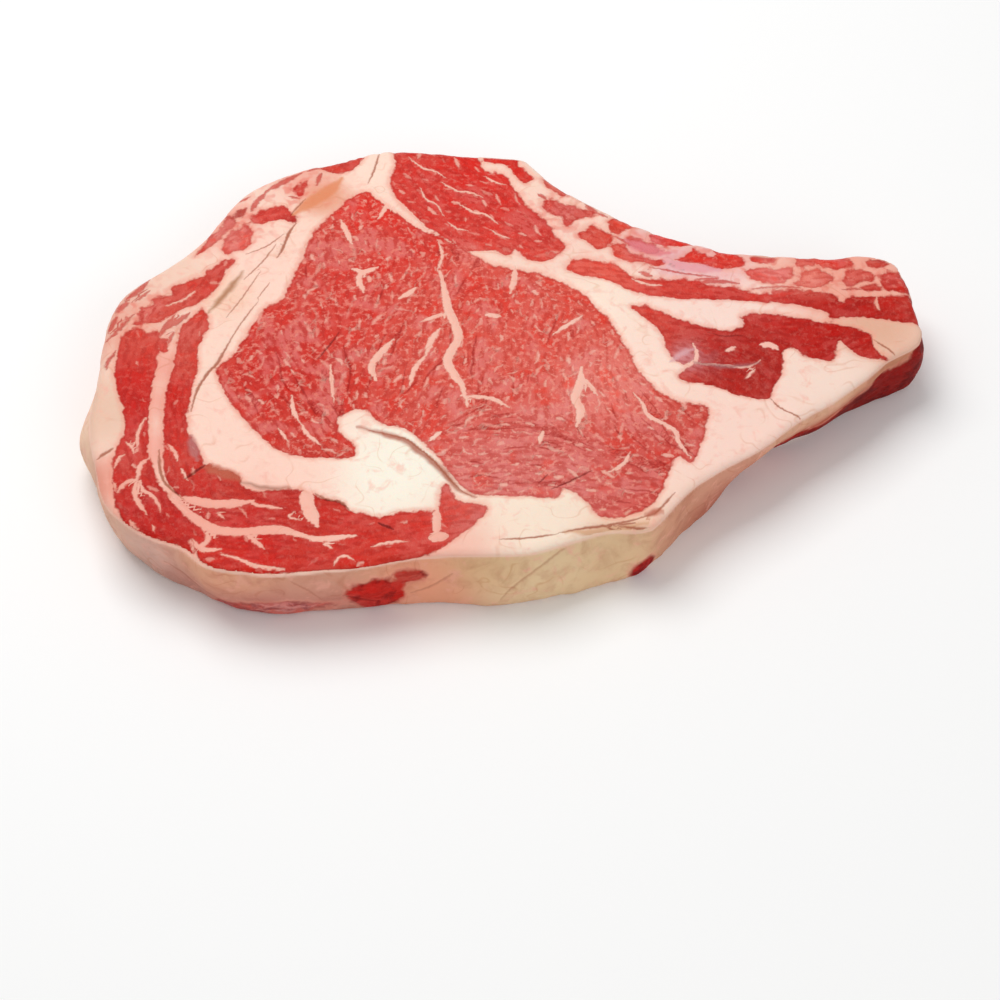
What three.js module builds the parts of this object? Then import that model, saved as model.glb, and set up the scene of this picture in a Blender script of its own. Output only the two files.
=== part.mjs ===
// A raw bone-in style rib steak, lying on its lower cut face.
//
// Millimetres, +Z up. The tail of the steak runs out along +X, the fat front edge faces -Y, and
// the flat lower face rests on Z = 0. The origin is the middle of the bounding box's floor.
//
// The steak is one piece of meat, so it is one closed solid: a flat base, a wall that leans and
// bulges as the outer fat does, a soft rounded rim, and an upper face with shallow swells.

import * as THREE from 'three';

// ---- driving dimensions -------------------------------------------------------------------

const THICKNESS = 21.5;          // between the two cut faces, before the swells
const RIM_ROUNDING = 2.4;        // soft edge between the upper face and the wall
const BASE_ROUNDING = 1.6;       // tighter edge under the weight of the meat
const BELLY_HEIGHT = 0.55;       // share of the height where the wall bulges most

const POINTS_AROUND = 160;       // samples of the outline
const RIM_STEPS = 3;             // rings on the rounded rim
const FACE_RINGS = 8;            // rings on the upper face, from the rim to the spine
const SPINE_REACH = 0.78;        // how far the innermost ring has gone towards the spine

const MEAT_COLOR = 0xc4483c;
const MEAT_ROUGHNESS = 0.45;

// The rim seen from above, counter-clockwise from the fat lobe at the left end. The third value
// is the overhang: how far the foot of the wall lies inside the rim, negative where it flares.
const OUTLINE = [
  // left end: the lobe of soft fat, then the front-left shoulder
  [-114.5, -6, 1], [-115, -18, 0], [-115.5, -28, 0], [-114, -38, 1], [-112, -47, 3],
  [-109, -57, 4], [-103, -64.5, 4.5], [-95, -69.5, 3], [-86.5, -72.5, 1.5],
  // front edge, a shallow step and then nearly straight
  [-80.5, -78.5, 4], [-71, -81.3, 3.5], [-61, -82.2, 3], [-50, -81, 2.5], [-38, -79.8, 2.5],
  [-27, -77, 1], [-15, -75.8, 0], [-4, -75.6, -1.5], [7, -74.4, -1], [17, -70, -2.5],
  [26, -66, -4], [33, -66.5, -1], [38.5, -66.5, 2.5],
  // heel: the front right corner turns back towards the tail over a hollow foot
  [43.5, -60.5, 1.5], [49.5, -53, 2], [59, -45.5, 4.5], [69, -38.6, 12], [75, -33.4, 14],
  [82, -27, 10], [90, -21.5, 8.5], [99, -13.5, 7.5], [107.5, -4.8, 4],
  // tail: the sawn end and its far edge
  [115.5, 0.8, 2.5], [118.2, 5, 2], [117, 15, 1.5], [115.5, 25, 1.5], [112.5, 34, 2],
  [107, 36.8, 2], [92, 36.3, 2], [77, 37, 2], [64, 38.8, 2], [52, 43, 2.5], [40, 48, 3],
  // back: a long slope up to the corner of the rib side
  [29, 55.2, 3], [19, 62.6, 2.5], [10, 71.5, 2], [5.5, 77.2, 1.5], [-2, 78.6, 1.5],
  // back edge over the top muscle, rounding down to the left end
  [-14, 79.4, 1.5], [-26, 81, 1.5], [-38, 80.8, 1.5], [-50, 77, 2], [-62, 73, 2],
  [-74, 67, 2], [-81.2, 58.5, 2], [-86, 48.6, 2.5], [-91, 40, 3], [-98.3, 32, 2.5],
  [-106, 25.2, 2], [-111, 19, 1.5], [-113.8, 8, 1.5],
];

// The middle line of the steak, from the left end to the tail; the rings of the upper face
// close in on it.
const SPINE = [[-88, -22], [-55, -8], [-15, 2], [30, 6], [70, 9], [104, 14]];

// Shallow hills and hollows of the upper face: middle, reach of the slope and height.
const FACE_SWELLS = [
  { x: 2, y: -6, reach: 42, height: 1.0 },        // the eye of the steak
  { x: -14, y: 58, reach: 20, height: 0.5 },      // the top muscle behind it
  { x: -100, y: -22, reach: 14, height: 0.6 },    // cap meat at the left end
  { x: -84, y: -6, reach: 9, height: -1.1 },      // the deep seam beside the eye
  { x: -78, y: 20, reach: 9, height: -0.8 },
  { x: 24, y: -66, reach: 13, height: -2.0 },     // soft fat slumping over the front edge
  { x: -84, y: -72, reach: 12, height: -1.0 },    // notch of the front-left shoulder
  { x: 104, y: 6, reach: 16, height: -1.0 },      // thin end of the tail
  { x: -72, y: 62, reach: 16, height: -1.2 },     // back edge, where the cap thins out
];

// Places where the wall bulges past the rim: middle, reach along the wall and how far.
const WALL_BULGES = [
  { x: -115, y: -24, reach: 14, out: 3.4 },       // the fat lobe
  { x: 10, y: -72, reach: 26, out: 1.6 },         // thick fat under the front edge
  { x: -62, y: -82, reach: 30, out: 0.9 },
  { x: 118, y: 8, reach: 14, out: 1.6 },          // the sawn end
  { x: -20, y: 80, reach: 40, out: 1.2 },
  { x: -98, y: 32, reach: 24, out: 1.3 },
];

// ---- the outline and its samples ------------------------------------------------------------

/** Falls from 1 at the middle of a swell or bulge to nearly 0 past twice its reach. */
function fade(dx, dy, reach) {
  return Math.exp(-(dx * dx + dy * dy) / (reach * reach));
}

/** Evenly spaced samples of the rim: plan position, inward direction, overhang and bulge. */
function sampleRim() {
  const knots = OUTLINE.map(([x, y, overhang]) => new THREE.Vector3(x, y, overhang));
  const curve = new THREE.CatmullRomCurve3(knots, true, 'centripetal');
  curve.arcLengthDivisions = 2000;
  const points = curve.getSpacedPoints(POINTS_AROUND).slice(0, POINTS_AROUND);
  return points.map((point, i) => {
    const before = points[(i + POINTS_AROUND - 1) % POINTS_AROUND];
    const after = points[(i + 1) % POINTS_AROUND];
    const along = new THREE.Vector2(after.x - before.x, after.y - before.y).normalize();
    let bulge = 0;
    for (const { x, y, reach, out } of WALL_BULGES) {
      bulge += out * fade(point.x - x, point.y - y, reach);
    }
    return { x: point.x, y: point.y, inX: -along.y, inY: along.x, overhang: point.z, bulge };
  });
}

/** Height of the upper face at a plan position. */
function faceHeight(x, y) {
  let z = THICKNESS;
  for (const { x: cx, y: cy, reach, height } of FACE_SWELLS) {
    z += height * fade(x - cx, y - cy, reach);
  }
  return z;
}

/** The point of the spine that is nearest to a plan position. */
function nearestOnSpine(x, y) {
  let best = null;
  for (let i = 0; i + 1 < SPINE.length; i++) {
    const [ax, ay] = SPINE[i];
    const [bx, by] = SPINE[i + 1];
    const dx = bx - ax;
    const dy = by - ay;
    const share = THREE.MathUtils.clamp(((x - ax) * dx + (y - ay) * dy) / (dx * dx + dy * dy), 0, 1);
    const px = ax + share * dx;
    const py = ay + share * dy;
    const distance = Math.hypot(x - px, y - py);
    if (!best || distance < best.distance) {
      best = { x: px, y: py, distance };
    }
  }
  return best;
}

// ---- rings of the wall and of the upper face -------------------------------------------------

/** Wall stations from the floor to just under the rim: height and inset for one sample. */
function wallStations(sample, top) {
  const shoulder = top - RIM_ROUNDING;
  const heights = [0, 0.35 * BASE_ROUNDING, BASE_ROUNDING];
  const rounding = [BASE_ROUNDING, 0.35 * BASE_ROUNDING, 0];
  for (const share of [0.25, 0.4, BELLY_HEIGHT, 0.72, 0.87]) {
    heights.push(share * top);
    rounding.push(0);
  }
  heights.push(shoulder);
  rounding.push(0);
  return heights.map((z, i) => {
    const level = z / shoulder;
    const lean = sample.overhang * (1 - level) ** 1.3;
    const swell = sample.bulge * Math.sin(Math.PI * level ** (Math.log(0.5) / Math.log(BELLY_HEIGHT)));
    return { z, inset: lean - swell + rounding[i] };
  });
}

/** One sample's points, from its foot on the floor, over the rim, to the innermost ring. */
function sectionThrough(sample) {
  const rimTop = faceHeight(sample.x, sample.y);
  const section = wallStations(sample, rimTop).map(({ z, inset }) => [
    sample.x + sample.inX * inset,
    sample.y + sample.inY * inset,
    z,
  ]);
  for (let i = 1; i <= RIM_STEPS; i++) {
    const turn = (i / RIM_STEPS) * (Math.PI / 2);
    const inset = RIM_ROUNDING * (1 - Math.cos(turn));
    const x = sample.x + sample.inX * inset;
    const y = sample.y + sample.inY * inset;
    section.push([x, y, faceHeight(x, y) - RIM_ROUNDING * (1 - Math.sin(turn))]);
  }
  const [startX, startY] = section[section.length - 1];
  const spine = nearestOnSpine(startX, startY);
  for (let i = 1; i <= FACE_RINGS; i++) {
    const share = SPINE_REACH * (i / FACE_RINGS);
    const x = THREE.MathUtils.lerp(startX, spine.x, share);
    const y = THREE.MathUtils.lerp(startY, spine.y, share);
    section.push([x, y, faceHeight(x, y)]);
  }
  return section;
}

/** Triangles that fill a ring of plan positions, counter-clockwise seen from above. */
function fillRing(ring) {
  const contour = ring.map(([x, y]) => new THREE.Vector2(x, y));
  return THREE.ShapeUtils.triangulateShape(contour, []);
}

// ---- the solid --------------------------------------------------------------------------------

/** The closed body of the steak, centred over its own bounding box's floor. */
function steakGeometry() {
  const sections = sampleRim().map(sectionThrough);
  const rings = sections[0].length;
  const positions = [];
  for (let ring = 0; ring < rings; ring++) {
    for (const section of sections) {
      positions.push(...section[ring]);
    }
  }

  const triangles = [];
  const at = (ring, i) => ring * POINTS_AROUND + (i % POINTS_AROUND);
  for (let ring = 0; ring + 1 < rings; ring++) {
    for (let i = 0; i < POINTS_AROUND; i++) {
      triangles.push(at(ring, i), at(ring, i + 1), at(ring + 1, i + 1));
      triangles.push(at(ring, i), at(ring + 1, i + 1), at(ring + 1, i));
    }
  }
  for (const [a, b, c] of fillRing(sections.map((section) => section[rings - 1]))) {
    triangles.push(at(rings - 1, a), at(rings - 1, b), at(rings - 1, c));
  }
  for (const [a, b, c] of fillRing(sections.map((section) => section[0]))) {
    triangles.push(at(0, c), at(0, b), at(0, a));
  }

  const geometry = new THREE.BufferGeometry();
  geometry.setAttribute('position', new THREE.Float32BufferAttribute(positions, 3));
  geometry.setIndex(triangles);
  geometry.computeBoundingBox();
  const middle = geometry.boundingBox.getCenter(new THREE.Vector3());
  geometry.translate(-middle.x, -middle.y, 0);
  geometry.computeVertexNormals();
  return geometry;
}

const meat = new THREE.MeshStandardMaterial({
  color: MEAT_COLOR,
  roughness: MEAT_ROUGHNESS,
  metalness: 0,
});

const steak = new THREE.Mesh(steakGeometry(), meat);
steak.name = 'steak';

const group = new THREE.Group();
group.add(steak);

export default group;
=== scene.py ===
"""A raw bone-in style rib steak on a plain studio floor.

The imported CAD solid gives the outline, the thickness and the place. A dense mesh is laid over
it, the muscles, fat seams, marbling and creases are worked out across its cut faces, that
relief is pressed into the mesh, and one procedural material shades it.

Places and sizes are in millimetres in the frame of the part. They become metres only where a
mesh, a lamp or the camera is made.
"""

import itertools
import math
from collections import namedtuple

import bmesh
import bpy
import numpy as np
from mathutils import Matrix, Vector


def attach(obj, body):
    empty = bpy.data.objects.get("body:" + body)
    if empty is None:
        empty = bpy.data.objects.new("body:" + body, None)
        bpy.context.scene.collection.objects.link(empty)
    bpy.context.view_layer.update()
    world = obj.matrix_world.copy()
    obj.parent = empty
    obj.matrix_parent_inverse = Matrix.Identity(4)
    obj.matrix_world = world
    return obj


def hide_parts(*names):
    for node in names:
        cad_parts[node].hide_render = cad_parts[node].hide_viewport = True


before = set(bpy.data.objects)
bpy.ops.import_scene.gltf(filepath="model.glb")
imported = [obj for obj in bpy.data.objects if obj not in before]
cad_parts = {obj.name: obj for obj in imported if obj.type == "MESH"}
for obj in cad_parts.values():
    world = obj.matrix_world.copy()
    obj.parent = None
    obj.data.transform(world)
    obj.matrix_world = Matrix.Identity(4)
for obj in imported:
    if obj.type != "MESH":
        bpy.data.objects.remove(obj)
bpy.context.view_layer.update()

# ---- driving sizes ----

MM = 0.001  # metres in a millimetre
WELD = 0.01  # gap up to which corners of the CAD solid are joined
VOXEL = 0.86  # spacing of the dense mesh
SOFTENING = 8  # rounds that melt the flat facets of the CAD solid
REACH = 12.0  # farthest that a loop is felt, and the distance that stands for far away
CURVE_STEPS = 5  # samples between two points of an outline or a stroke
TOP_EDGE = (0.35, 0.75)  # upward part of the normal where the wall turns into the upper face
BASE_EDGE = (0.8, 0.95)  # the same for the lower face, which the overhanging wall comes close to
UPPER_HALF = (-0.3, 0.3)  # the same between the patterns of the lower and the upper face
NEAR_SIDE = (0.2, 0.5)  # forward part of the normal where the wall faces the near side
BEHIND = (6.0, 22.0)  # Y where the look of the near wall gives way to that of the back wall
UNDERSIDE_WANDER = 5.0  # how far the pattern of the lower face strays from the upper one

STROKE_REACH = 3.0  # farthest that a stroke is felt
STROKE_TAPER = 0.3  # share of its length over which a stroke narrows to each end
STROKE_END = 0.35  # share of its width that is left at an end
STROKE_BLUNTING = 0.02  # keeps the ends a little blunt
# Some stains are painted shade and some are painted sheen.
STROKE_CLEAR = 0.6  # how far past its sides a stroke keeps its half width
STAIN_SHADE_SHEEN_CLEAR = 1.2  # the same for stains
STROKE_FALLOFF = 3.0  # how fast the half width drops beyond that

# Flecks are short strokes of fat, and wrinkles are long thin lines on the eye.
SEED_FLECKS = 11
FLECK_TRIES = 2600
FLECK_MARGIN = 0.8  # least distance from the edge of the muscle
FLECK_LENGTH = (0.8, 4.4)
FLECK_WIDTH = (0.5, 1.25)
FLECK_UNREST = 0.5  # spread of the direction, in radians
FLECK_BEND = 0.09  # spread of the bend, as a share of the length
SEED_WRINKLES = 5
WRINKLE_TRIES = 3000
WRINKLE_COUNT = 95
WRINKLE_MARGIN = 2.5
WRINKLE_LENGTH = (4.0, 18.0)
WRINKLE_WIDTH = (0.35, 0.7)
WRINKLE_STEP = 2.0
WRINKLE_UNREST = 0.12  # spread of each step's turn, in radians
WRINKLE_MEMORY = 0.7  # share of the last turn that the next one keeps
WRINKLE_FRONT = -18.0  # in front of this Y every wrinkle is kept
WRINKLES_BEHIND = 0.25  # share of wrinkles kept behind it

# Relief: depths and heights, and how far a groove spreads to each side.
FAT_SWELL = 0.32  # how far fat stands above lean
FAT_LUMPS = 0.22
BORDER_DEPTH = 0.22  # the groove where lean meets fat
BORDER_SPREAD = 0.9
FIBRE_DEPTH = 0.16
FIBRE_STRETCH = 0.35  # squeezes space along the fibres, so that they come out long
LEAN_LUMPS = 0.2
WRINKLE_DEPTH = 0.1
WRINKLE_SPREAD = 0.7
CREASE_DEPTH = 0.4
CREASE_SPREAD = 0.8
WALL_LUMPS = 0.6
WALL_GRAIN = 0.1
WALL_STRETCH = (1.0, 1.0, 0.45)  # squeezes space along Z, so that lumps hang down the wall
WALL_MEAT_SWELL = 0.25  # how far the meat in the near wall stands proud
WALL_MEAT_RAGGED = 3.2  # how far its border strays
BACK_MEAT_RAGGED = 2.2
BACK_MEAT_INSET = 0.8  # how much narrower the meat is in the back wall than on the cut face

# Constants of a hash that gives the same noise every time.
HASH_PRIMES = np.array([374761393, 668265263, 2246822519], np.uint32)
HASH_SEED_PRIME = 3266489917
HASH_MIXER = 1274126177
NOISE_ORIGIN = 1000.0  # keeps the cells of the lattice positive
NOISE_LAYERS = 3
NOISE_SPREAD = 1.6  # brings the sum of the layers back to about -1 to 1
TINY = 1e-9  # keeps divisors and weights off zero

# ---- the muscles of the cut face ----
# Each is a loop seen from above. A loop that runs past the rim is cut open at the wall.

EYE = [
    (-43, 63), (-37, 58), (-27, 48), (-19, 43), (-11, 37), (-4, 32), (4, 29.8), (11, 27.8),
    (19, 22.5), (27, 13), (32, 3), (36, -8), (42, -17.5), (49, -21.5), (55, -23), (54, -32),
    (50, -43), (46.5, -40.5), (43.5, -46), (41, -54), (36.5, -59.5), (29, -61.3), (24, -60),
    (20, -55), (15, -52), (12.5, -55.5), (5, -55), (-4, -54.8), (-9.4, -54.3), (-12.6, -51.6),
    (-16, -46.2), (-19.6, -41), (-24.8, -34.4), (-29, -30.8), (-35, -29.2), (-39, -24.4),
    (-43, -24), (-47, -28), (-45.5, -33), (-42, -37), (-43, -41), (-52, -41.2), (-61, -39.5),
    (-69, -32), (-76, -22.5), (-81, -12), (-81.5, -7), (-77, -2), (-72.5, 9), (-69, 16), (-65, 18),
    (-62, 27), (-60, 34), (-57, 45), (-50, 56),
]
TOP_MUSCLE = [
    (-33, 86), (-33.5, 74), (-35, 67), (-33, 60.5), (-27, 51.5), (-19, 43.5), (-12, 38), (-5, 38),
    (0, 36), (2, 38.6), (5, 34.6), (11, 33.6), (14.5, 36.5), (17, 39.5), (14, 44.5), (11.5, 50),
    (7.5, 54.5), (3, 62), (-1, 69.5), (-7.5, 72.5), (-8.5, 76.5), (-13, 86),
]
LONG_BAND = [
    (16.8, 30.5), (18, 33.4), (22, 34.6), (29.5, 33), (33.8, 29.6), (37, 26.4), (40, 27),
    (47, 26.5), (54.6, 26.2), (58, 23.8), (65, 23.6), (69.5, 21.5), (75, 21), (77, 22.4),
    (87, 22.2), (93, 20.8), (95.6, 18.2), (98, 19.8), (105, 20.2), (124, 19.8), (124, 9),
    (110.5, 10.9), (104, 12.2), (98, 12.4), (92, 11.5), (91, 14), (85.5, 15.9), (79, 17.1),
    (64, 18.4), (54, 18.7), (45, 19.2), (36, 21.6), (29.5, 25.9), (22, 27.6),
]
DARK_MUSCLE = [
    (35, 15.5), (41, 15), (48, 11), (55, 8.1), (62, 6.5), (65.5, 7.1), (67, 9.4), (66.2, 11.6),
    (70, 13.1), (76, 12.8), (85, 10.9), (91, 9.6), (95.5, 9), (102.4, 6.5), (103, 2.6),
    (104.6, -1.6), (108, -4), (100, -3.5), (96, 0.4), (94, 3.2), (92.7, 0.2), (91, -4.8),
    (84, -3.6), (80.5, -0.2), (77.5, -1.5), (77, -8), (74, -15.5), (72, -19.6), (65, -19),
    (60, -16), (54, -14), (49.5, -13.6), (47.5, -11), (50, -8.2), (47, -5.5), (44.5, -1), (43.5, 5),
    (40, 10),
]
CAP_UPPER = [
    (-79, 34.2), (-82.3, 34.8), (-84, 32), (-86.8, 30.6), (-87.4, 28.2), (-91, 27), (-96, 23.6),
    (-96.8, 20.6), (-101, 19.2), (-102, 16.4), (-105.6, 15), (-104.4, 10.8), (-107, 8.8),
    (-100, 9.4), (-96.6, 11.4), (-94.4, 13.8), (-90, 16.4), (-86.6, 19.4), (-84.4, 22.4),
    (-82.4, 27.2), (-81.6, 30.6),
]
CAP_INNER = [
    (-87.4, 15.2), (-84.8, 9.6), (-86.4, 4), (-87.4, -1), (-86.9, -8), (-88, -16), (-88.5, -26),
    (-87.6, -33), (-84.8, -38), (-82.4, -43.4), (-81, -48), (-83, -53), (-87.6, -55), (-90.6, -52),
    (-93, -47.6), (-94, -40), (-94.6, -33), (-95, -26), (-94.6, -14), (-93.5, -4), (-93.2, 5.6),
    (-91.6, 9.4), (-89.4, 12.2),
]
CAP_OUTER = [
    (-109.8, 0.5), (-109.2, 4), (-106.4, 7.4), (-103.6, 6.4), (-101, 5.2), (-99.4, 6.6), (-98, 3),
    (-98.4, -2), (-98.6, -8), (-99.2, -20), (-98.6, -32), (-98.4, -39), (-96.2, -45), (-94.6, -50),
    (-91.4, -55), (-88, -60), (-84.8, -63.6), (-82.6, -66), (-82.8, -68.4), (-84.8, -69.8),
    (-83.6, -73.6), (-86.4, -72.6), (-88, -70.6), (-91.5, -70.6), (-95.8, -69.2), (-100, -66.8),
    (-102.2, -64), (-104.8, -60), (-106.2, -55), (-107.2, -49), (-107.6, -43), (-107.2, -38),
    (-105.2, -31), (-107, -22), (-110, -11),
]
CAP_LOWER = [
    (-82.4, -43.8), (-79, -45.4), (-75.6, -46.4), (-72.4, -48.6), (-72, -51), (-68, -53),
    (-64.6, -52.8), (-60, -52.4), (-54, -53.4), (-51.6, -54.6), (-48.6, -56), (-45.2, -57),
    (-43, -59.6), (-38, -61.6), (-35, -62.6), (-30, -61), (-24, -60.3), (-19, -60), (-18.3, -54),
    (-16.8, -51.3), (-14.4, -55), (-11.8, -57.2), (-5.6, -58.7), (-8, -63.4), (-13, -68.4),
    (-18.8, -73.6), (-24.5, -76.1), (-31, -78.2), (-40, -80), (-50, -80.4), (-57, -80.9),
    (-66, -81), (-73, -80.6), (-77, -79.9), (-80, -77.8), (-82.6, -74.6), (-84, -69), (-84.5, -62),
    (-86.6, -58), (-88.5, -54), (-86, -48),
]
MUSCLES = [
    EYE, TOP_MUSCLE, LONG_BAND, DARK_MUSCLE, CAP_UPPER, CAP_INNER, CAP_OUTER, CAP_LOWER,
]

# Small islands of lean: torn ends of the cap at the back left, then the rib side at the right.
ISLANDS = [
    [(-89.4, 38.8), (-87.3, 44.3), (-83.7, 49.4), (-82.4, 54), (-80, 51.4), (-82.3, 46.4),
     (-86, 40.6), (-91, 36)],
    [(-76.8, 57.4), (-80, 55.6), (-80.8, 52), (-78.6, 52.8)],
    [(-76.6, 50.6), (-79, 48), (-82.3, 44.3), (-83.2, 40), (-82.2, 37), (-79.8, 38), (-76, 39.6),
     (-74.6, 44), (-75.6, 48)],
    [(-75.4, 51.2), (-74, 55.4), (-69.4, 57.2), (-65.8, 57.8), (-64, 55), (-62, 52.4), (-63, 50),
     (-66, 52), (-69.4, 51.4), (-72.4, 50.2)],
    [(-61, 67.4), (-63.8, 64.6), (-61.4, 62), (-60, 64.6), (-59, 66.9)],
    [(-56, 74.5), (-54.4, 72.4), (-50.4, 70.8), (-46, 73), (-43, 78), (-46, 80), (-52, 77)],
    [(-99, 3), (-96.4, 2.8), (-96, -1.6), (-98.4, -1)],
    [(-7, 77.4), (-6, 75.6), (-2, 74.8), (2.6, 74.4), (3, 76.4), (-1, 77.6)],
    [(0, 73.6), (2.8, 75.6), (3.8, 73.4), (7.2, 69.8), (7.4, 67.8), (4.8, 66.4), (3.2, 68),
     (1.4, 71.8)],
    [(11, 68.6), (12.4, 69.8), (14.8, 66.6), (17.2, 63.7), (16.8, 61), (12.6, 64.2), (11, 66.4)],
    [(10.6, 59.6), (14.5, 59.6), (17, 57.6), (20, 57.2), (22, 55.4), (25.4, 55.4), (25.2, 52.4),
     (22, 52), (19.6, 50.4), (17.8, 48.2), (16, 49.4), (15.8, 51.8), (12.6, 53.6), (10.6, 56.2)],
    [(20.6, 45), (23.2, 47.8), (24.6, 49), (26.6, 47.6), (30, 44.6), (30, 41), (26.4, 38.8),
     (23.2, 41.8)],
    [(30, 50.8), (32.4, 52.8), (36, 51.6), (37, 48.8), (33.9, 46), (30.8, 45), (29.4, 47.6)],
    [(29.4, 40.8), (34, 40.8), (35.8, 38.2), (39.5, 35.9), (45.2, 34), (43.4, 31.8), (39, 33.2),
     (32, 34.8), (30.6, 38)],
    [(35, 44), (38, 43.4), (42, 40), (46, 38.4), (42, 37), (38, 39.4), (35.4, 41)],
    [(41.6, 45.2), (43.8, 46.6), (48.3, 45), (53.3, 44), (55, 41.8), (50, 40.1), (45, 40.4),
     (41.8, 42.4)],
    [(48, 34.8), (51.6, 36.4), (54.2, 39.6), (55.8, 37.4), (59.6, 36), (60.4, 39.4), (64.3, 39.2),
     (68, 36), (68.6, 32.8), (65, 31.4), (61, 31.2), (55.5, 33.2), (52, 33.4)],
    [(70.3, 35.2), (71.4, 37), (76.2, 37), (77.4, 34.6), (75, 33.2), (71, 33.8)],
    [(68.4, 29.8), (71, 31.4), (76.8, 31.4), (82.3, 30.8), (82.3, 27.8), (79.4, 25.7), (75, 25),
     (72.4, 26), (70, 27)],
    [(83.4, 32), (83.8, 35), (85.5, 36.4), (88.8, 35), (88.4, 32.2)],
    [(89.2, 34.8), (91, 36.4), (94.5, 36.6), (99.5, 35), (99.6, 32.6), (95.6, 30.7), (91.8, 31),
     (89.8, 32.8)],
    [(84.6, 29.8), (88, 30.6), (93.8, 29), (93, 26), (89.6, 23.6), (85, 23.8), (81.6, 25.4),
     (84, 27)],
    [(97.8, 29.6), (100.4, 31.2), (104.4, 29.8), (105.8, 26.4), (102, 25.6), (98, 24),
     (96.6, 26.4)],
    [(101.4, 24.4), (105, 24.8), (108.4, 23.6), (106, 22.4), (102, 22.6)],
    [(107.6, 26), (108.8, 30), (112.6, 29.8), (118, 27), (118, 21.8), (112.4, 22.2), (108, 22.6)],
    [(103.6, 34.8), (108, 35.6), (110.4, 33), (107.4, 31.6), (104.4, 32.4)],
]

# Thin red strokes of lean in the fat: points and width.
SHREDS = [
    ([(-72, 63.2), (-74.4, 59.3), (-75.4, 56)], 1.7),
    ([(-62, 71), (-66.6, 67.9), (-71.2, 64.6)], 1.9),
    ([(-55.6, 73.4), (-57.6, 73.2), (-59.6, 72.2)], 1.3),
    ([(-56.6, 66.4), (-55.6, 70.8)], 1.3),
    ([(-64.6, 61.6), (-62, 60.6)], 0.8),
    ([(-79, 60), (-76.6, 61.6)], 0.9),
    ([(-103.4, 26.8), (-105.9, 22), (-109, 18.6)], 1.9),
    ([(-102.8, 21.8), (-106.4, 17.6)], 0.8),
    ([(-108.8, 16.8), (-111.2, 14)], 1.9),
    ([(-111.4, 11), (-113.2, 6)], 1.9),
    ([(-108.8, 11.2), (-110.1, 7), (-113, 2.6)], 0.9),
    ([(-106.6, 12.6), (-108.6, 9.4), (-110.6, 5)], 0.8),
    ([(-95, 11.8), (-98.6, 4)], 1.7),
    ([(-91, 12.8), (-93.5, 10), (-95.6, 7.4)], 1.7),
    ([(-94.6, 5.4), (-96, 1.4)], 1.0),
    ([(-110.4, -2), (-112.2, -6), (-112.4, -9)], 0.9),
    ([(9.2, 61.4), (11, 60)], 1.2),
    ([(17.2, 64.2), (17.8, 62.8)], 1.6),
    ([(23, 57.4), (26.2, 53.8)], 1.6),
    ([(27, 53.6), (28.8, 52)], 1.0),
    ([(31, 44), (35.4, 40.8)], 0.8),
    ([(38.3, 29), (41, 27.8)], 1.4),
    ([(41, 31.2), (50, 28.8), (60, 27.4)], 0.7),
    ([(54, 25.4), (62, 25.6), (66, 25)], 1.3),
    ([(70, 22.6), (78, 23.6), (84, 23.4)], 0.6),
    ([(96, 22.6), (102, 23.2)], 0.7),
]

# ---- fat strokes through the lean: points and width ----

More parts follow.
